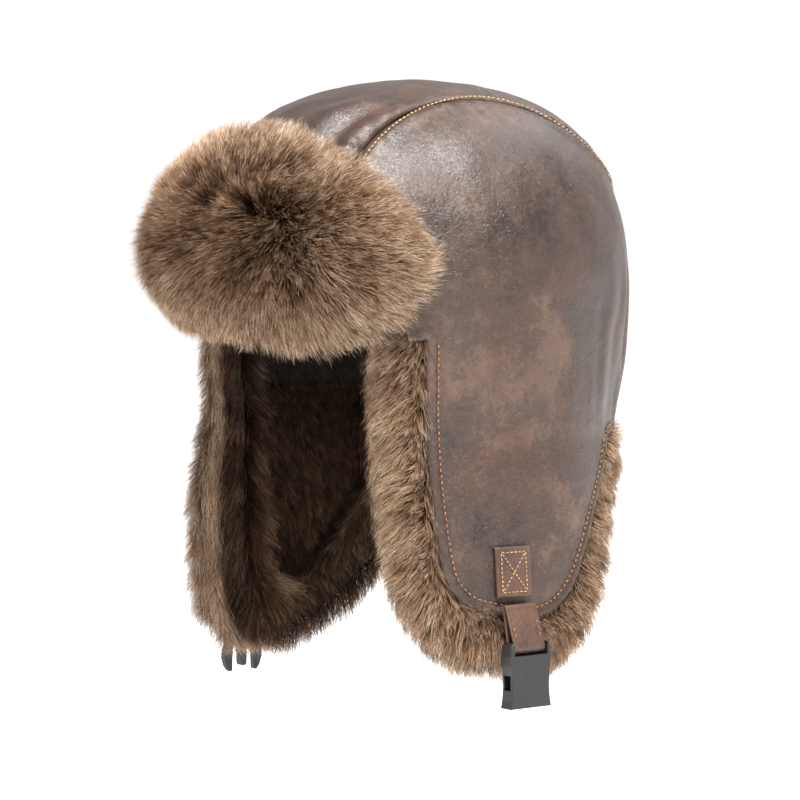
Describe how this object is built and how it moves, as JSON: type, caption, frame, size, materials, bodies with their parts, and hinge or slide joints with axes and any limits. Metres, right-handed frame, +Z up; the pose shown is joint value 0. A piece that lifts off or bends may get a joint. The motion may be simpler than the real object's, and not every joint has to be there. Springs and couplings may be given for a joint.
{
  "type": "trapper hat",
  "caption": "Leather trapper hat with a fold-up fur visor, fur-lined ear flaps that fold up, fur edging and a side-release buckle chin strap.",
  "frame": {"origin": "centre of the head opening, level with the fold line of the ear flaps", "axes": "+Z up through the crown, the front of the hat faces -Y, the wearer's left ear flap is at +X"},
  "size_m": [0.2406, 0.268, 0.3229],
  "materials": {
    "shell_leather": "worn brown grained leather with a soft sheen",
    "visor_fur": "long shaggy pile fur, dark roots and tan tips",
    "edge_fur": "long shaggy pile fur, tan",
    "lining_fur": "short dense dark brown pile",
    "wadding": "soft matte fibre wadding",
    "stitch_thread": "waxed orange-tan thread",
    "elastic": "woven black elastic",
    "buckle_plastic": "moulded black plastic, satin"
  },
  "bodies": {
    "crown": {"crown_centre_panel": "shell_leather", "crown_side_panel_left": "shell_leather", "crown_side_panel_right": "shell_leather", "crown_wadding": "wadding", "crown_lining": "lining_fur", "nape_elastic": "elastic", "crown_seam_thread_left": "stitch_thread", "crown_seam_thread_right": "stitch_thread", "temple_trim_left": "edge_fur", "temple_trim_right": "edge_fur", "nape_trim": "edge_fur"},
    "visor": {"visor_leather": "shell_leather", "visor_wadding": "wadding", "visor_fur": "visor_fur"},
    "flap_left": {"flap_leather_left": "shell_leather", "flap_wadding_left": "wadding", "flap_lining_left": "lining_fur", "flap_trim_left": "edge_fur", "flap_edge_thread_left": "stitch_thread", "strap_tab_left": "shell_leather", "strap_stitch_left": "stitch_thread"},
    "strap_left": {"strap_loop_left": "shell_leather"},
    "flap_right": {"flap_leather_right": "shell_leather", "flap_wadding_right": "wadding", "flap_lining_right": "lining_fur", "flap_trim_right": "edge_fur", "flap_edge_thread_right": "stitch_thread", "strap_tab_right": "shell_leather", "strap_stitch_right": "stitch_thread"},
    "strap_right": {"strap_loop_right": "shell_leather"},
    "buckle_socket": {"buckle_female": "buckle_plastic"},
    "buckle_plug": {"buckle_male": "buckle_plastic"},
    "prong_front": {"buckle_prong_front": "buckle_plastic"},
    "prong_rear": {"buckle_prong_rear": "buckle_plastic"}
  },
  "joints": [
    {"name": "visor_fold", "type": "hinge", "parent": "crown", "child": "visor", "pos_m": [0, -0.1243, 0.045], "axis": [1, 0, 0], "range_deg": [0, 95]},
    {"name": "flap_left_fold", "type": "hinge", "parent": "crown", "child": "flap_left", "pos_m": [0.101, 0, 0], "axis": [0, -1, 0], "range_deg": [0, 155]},
    {"name": "strap_left_swing", "type": "hinge", "parent": "flap_left", "child": "strap_left", "pos_m": [0.109, -0.018, -0.0928], "axis": [0, -1, 0], "range_deg": [0, 40]},
    {"name": "buckle_left_swing", "type": "hinge", "parent": "strap_left", "child": "buckle_socket", "pos_m": [0.1166, -0.018, -0.1155], "axis": [0, -1, 0], "range_deg": [0, 25]},
    {"name": "flap_right_fold", "type": "hinge", "parent": "crown", "child": "flap_right", "pos_m": [-0.101, 0, 0], "axis": [0, 1, 0], "range_deg": [0, 155]},
    {"name": "strap_right_swing", "type": "hinge", "parent": "flap_right", "child": "strap_right", "pos_m": [-0.109, -0.026, -0.0928], "axis": [0, 1, 0], "range_deg": [0, 40]},
    {"name": "buckle_right_swing", "type": "hinge", "parent": "strap_right", "child": "buckle_plug", "pos_m": [-0.1166, -0.026, -0.1155], "axis": [0, 1, 0], "range_deg": [0, 25]},
    {"name": "prong_front_flex", "type": "hinge", "parent": "buckle_plug", "child": "prong_front", "pos_m": [-0.1166, -0.0344, -0.1295], "axis": [1, 0, 0], "range_deg": [0, 8], "stiffness_Nm_per_rad": 0.5},
    {"name": "prong_rear_flex", "type": "hinge", "parent": "buckle_plug", "child": "prong_rear", "pos_m": [-0.1166, -0.0176, -0.1295], "axis": [-1, 0, 0], "range_deg": [0, 8], "stiffness_Nm_per_rad": 0.5}
  ],
  "couplings": [
    {"joint": "prong_rear_flex", "follows": "prong_front_flex", "ratio": 1}
  ]
}
